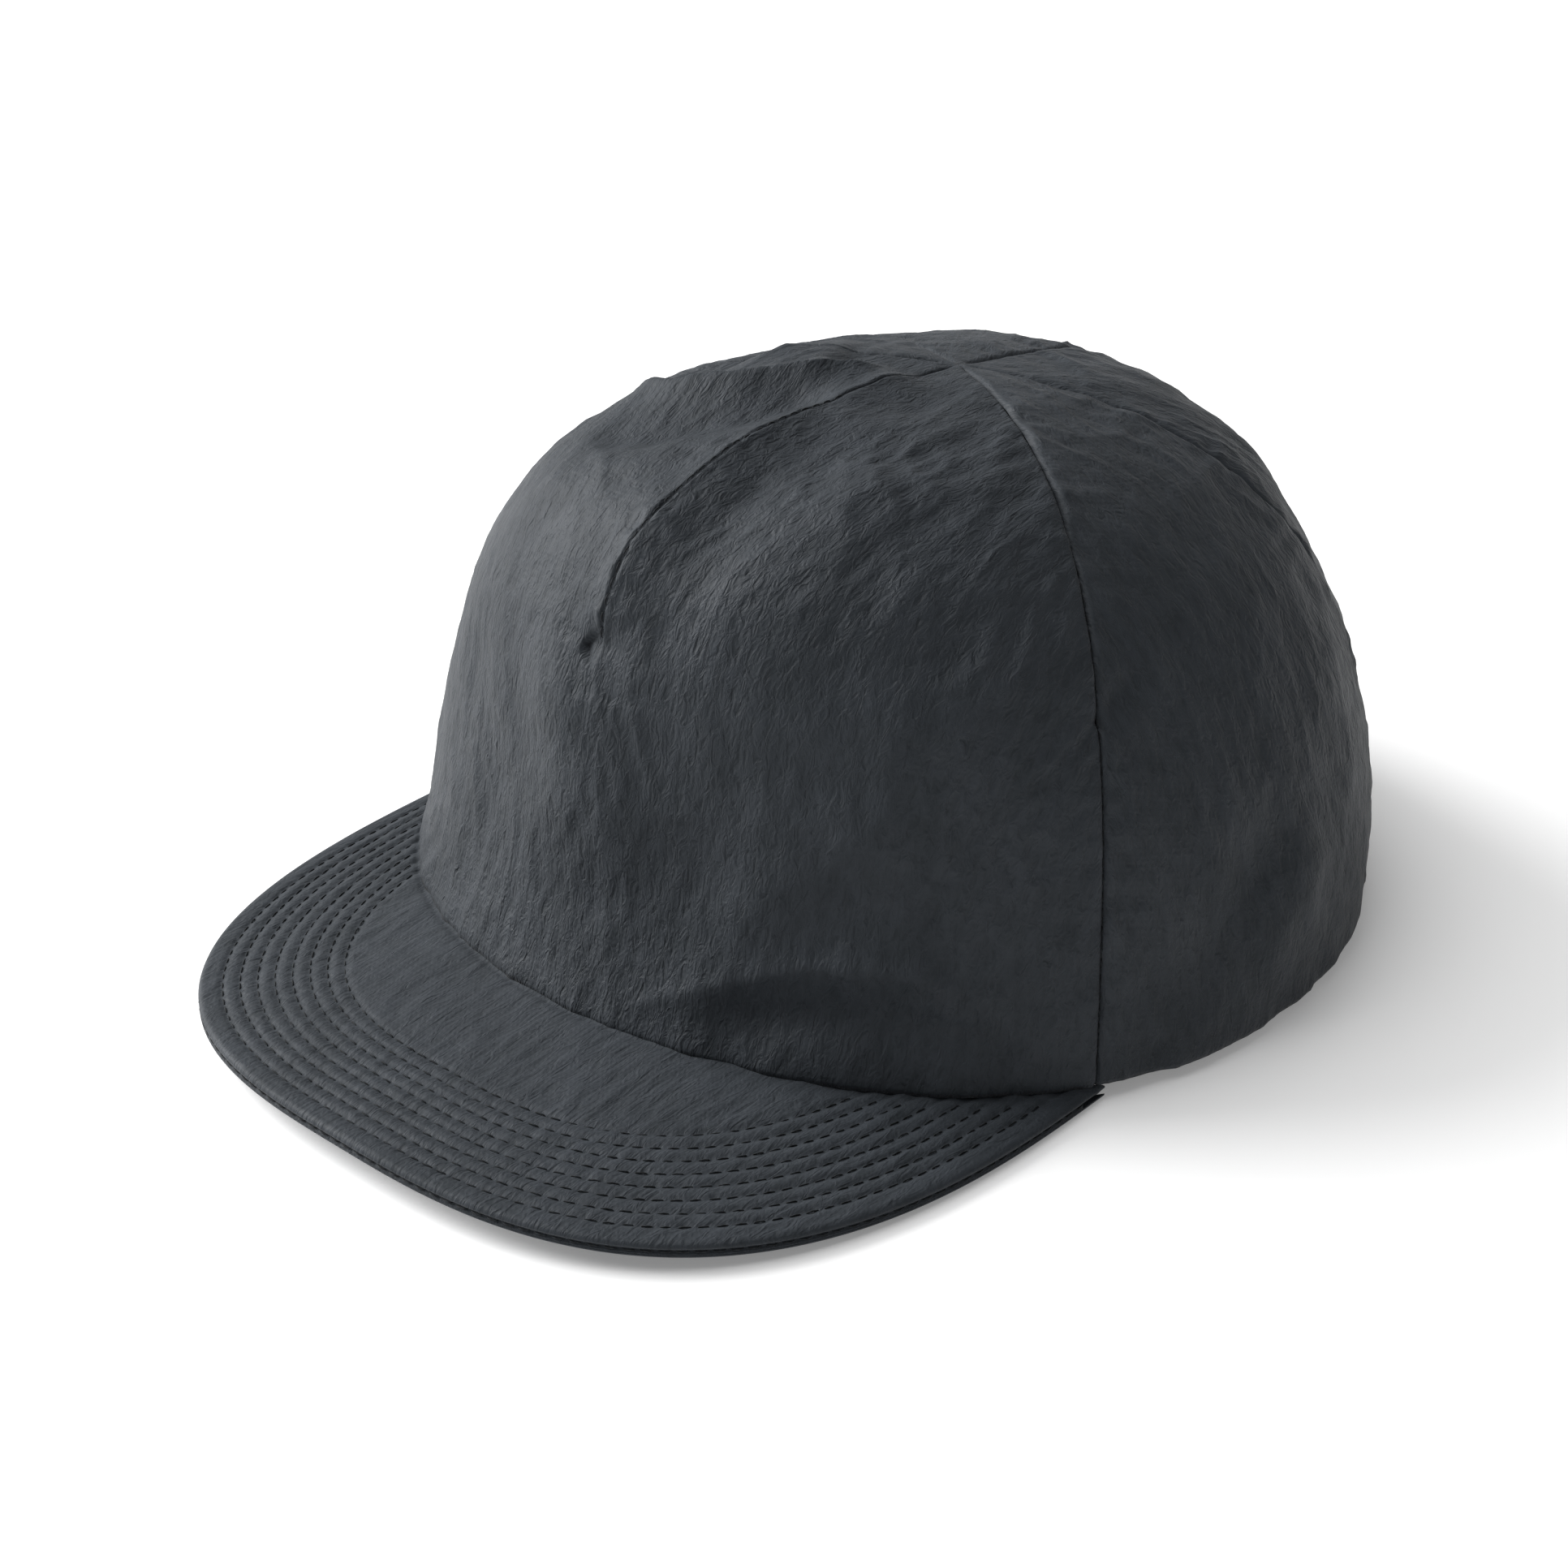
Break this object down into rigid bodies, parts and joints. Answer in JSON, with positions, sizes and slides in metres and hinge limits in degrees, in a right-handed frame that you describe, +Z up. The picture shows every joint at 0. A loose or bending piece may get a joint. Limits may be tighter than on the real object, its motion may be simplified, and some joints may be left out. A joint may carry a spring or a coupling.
{
  "type": "bump cap",
  "caption": "Short-visor soft cloth cap over a removable hard inner shell with foam pads, and a rear strap that a lever buckle clamps.",
  "frame": {"origin": "centre of the head opening, in the plane that the sweatband's lower edge stands on", "axes": "-Y towards the visor, +X towards the wearer's left, +Z up through the crown"},
  "size_m": [0.1854, 0.2395, 0.1007],
  "materials": {
    "cover_cloth": "matt crinkled nylon cloth, slate grey",
    "visor_cloth": "matt nylon cloth, quilted with rows of stitches",
    "seam_tape": "woven tape, near black",
    "sweatband_knit": "brushed terry knit, black",
    "visor_board": "stiff sheet, sealed inside the visor",
    "webbing": "plain woven webbing, near black",
    "buckle_metal": "satin nickel on pressed steel",
    "sewing_thread": "spun polyester thread",
    "loop_pile": "looped pile",
    "hook_tape": "moulded hooks",
    "shell_abs": "injection moulded ABS, fine satin grain",
    "pad_foam": "closed-cell EVA foam"
  },
  "bodies": {
    "cover": {"front_panel": "cover_cloth", "left_side_panel": "cover_cloth", "right_side_panel": "cover_cloth", "left_back_panel": "cover_cloth", "right_back_panel": "cover_cloth", "front_dart_tape": "seam_tape", "left_front_seam_tape": "seam_tape", "right_front_seam_tape": "seam_tape", "left_back_seam_tape": "seam_tape", "right_back_seam_tape": "seam_tape", "back_centre_seam_tape": "seam_tape", "apex_patch": "seam_tape", "sweatband": "sweatband_knit", "hem_fold": "cover_cloth", "rear_arch_binding": "seam_tape", "visor_top_cover": "visor_cloth", "visor_board": "visor_board", "visor_under_cover": "visor_cloth", "visor_edge_seam": "visor_cloth", "strap_anchor": "webbing", "buckle_frame": "buckle_metal", "buckle_pin": "buckle_metal", "strap_bartacks": "sewing_thread", "loop_tabs": "loop_pile"},
    "insert": {"impact_shell": "shell_abs", "front_pad": "pad_foam", "left_pad": "pad_foam", "right_pad": "pad_foam", "rear_pad": "pad_foam", "crown_pad": "pad_foam", "hook_tabs": "hook_tape"},
    "strap": {"adjuster_strap": "webbing"},
    "lever": {"buckle_lever": "buckle_metal"}
  },
  "joints": [
    {"name": "insert_release", "type": "slide", "parent": "cover", "child": "insert", "axis": [0, 0, -1], "range_m": [0, 0.1]},
    {"name": "strap_adjust", "type": "hinge", "parent": "cover", "child": "strap", "pos_m": [0, 0.00034, 0], "axis": [0, 0, -1], "range_deg": [0, 14]},
    {"name": "buckle_lever_hinge", "type": "hinge", "parent": "cover", "child": "lever", "pos_m": [0.00751, 0.09254, 0.01331], "axis": [-0.0178, -0.1122, 0.9935], "range_deg": [0, 100]}
  ]
}
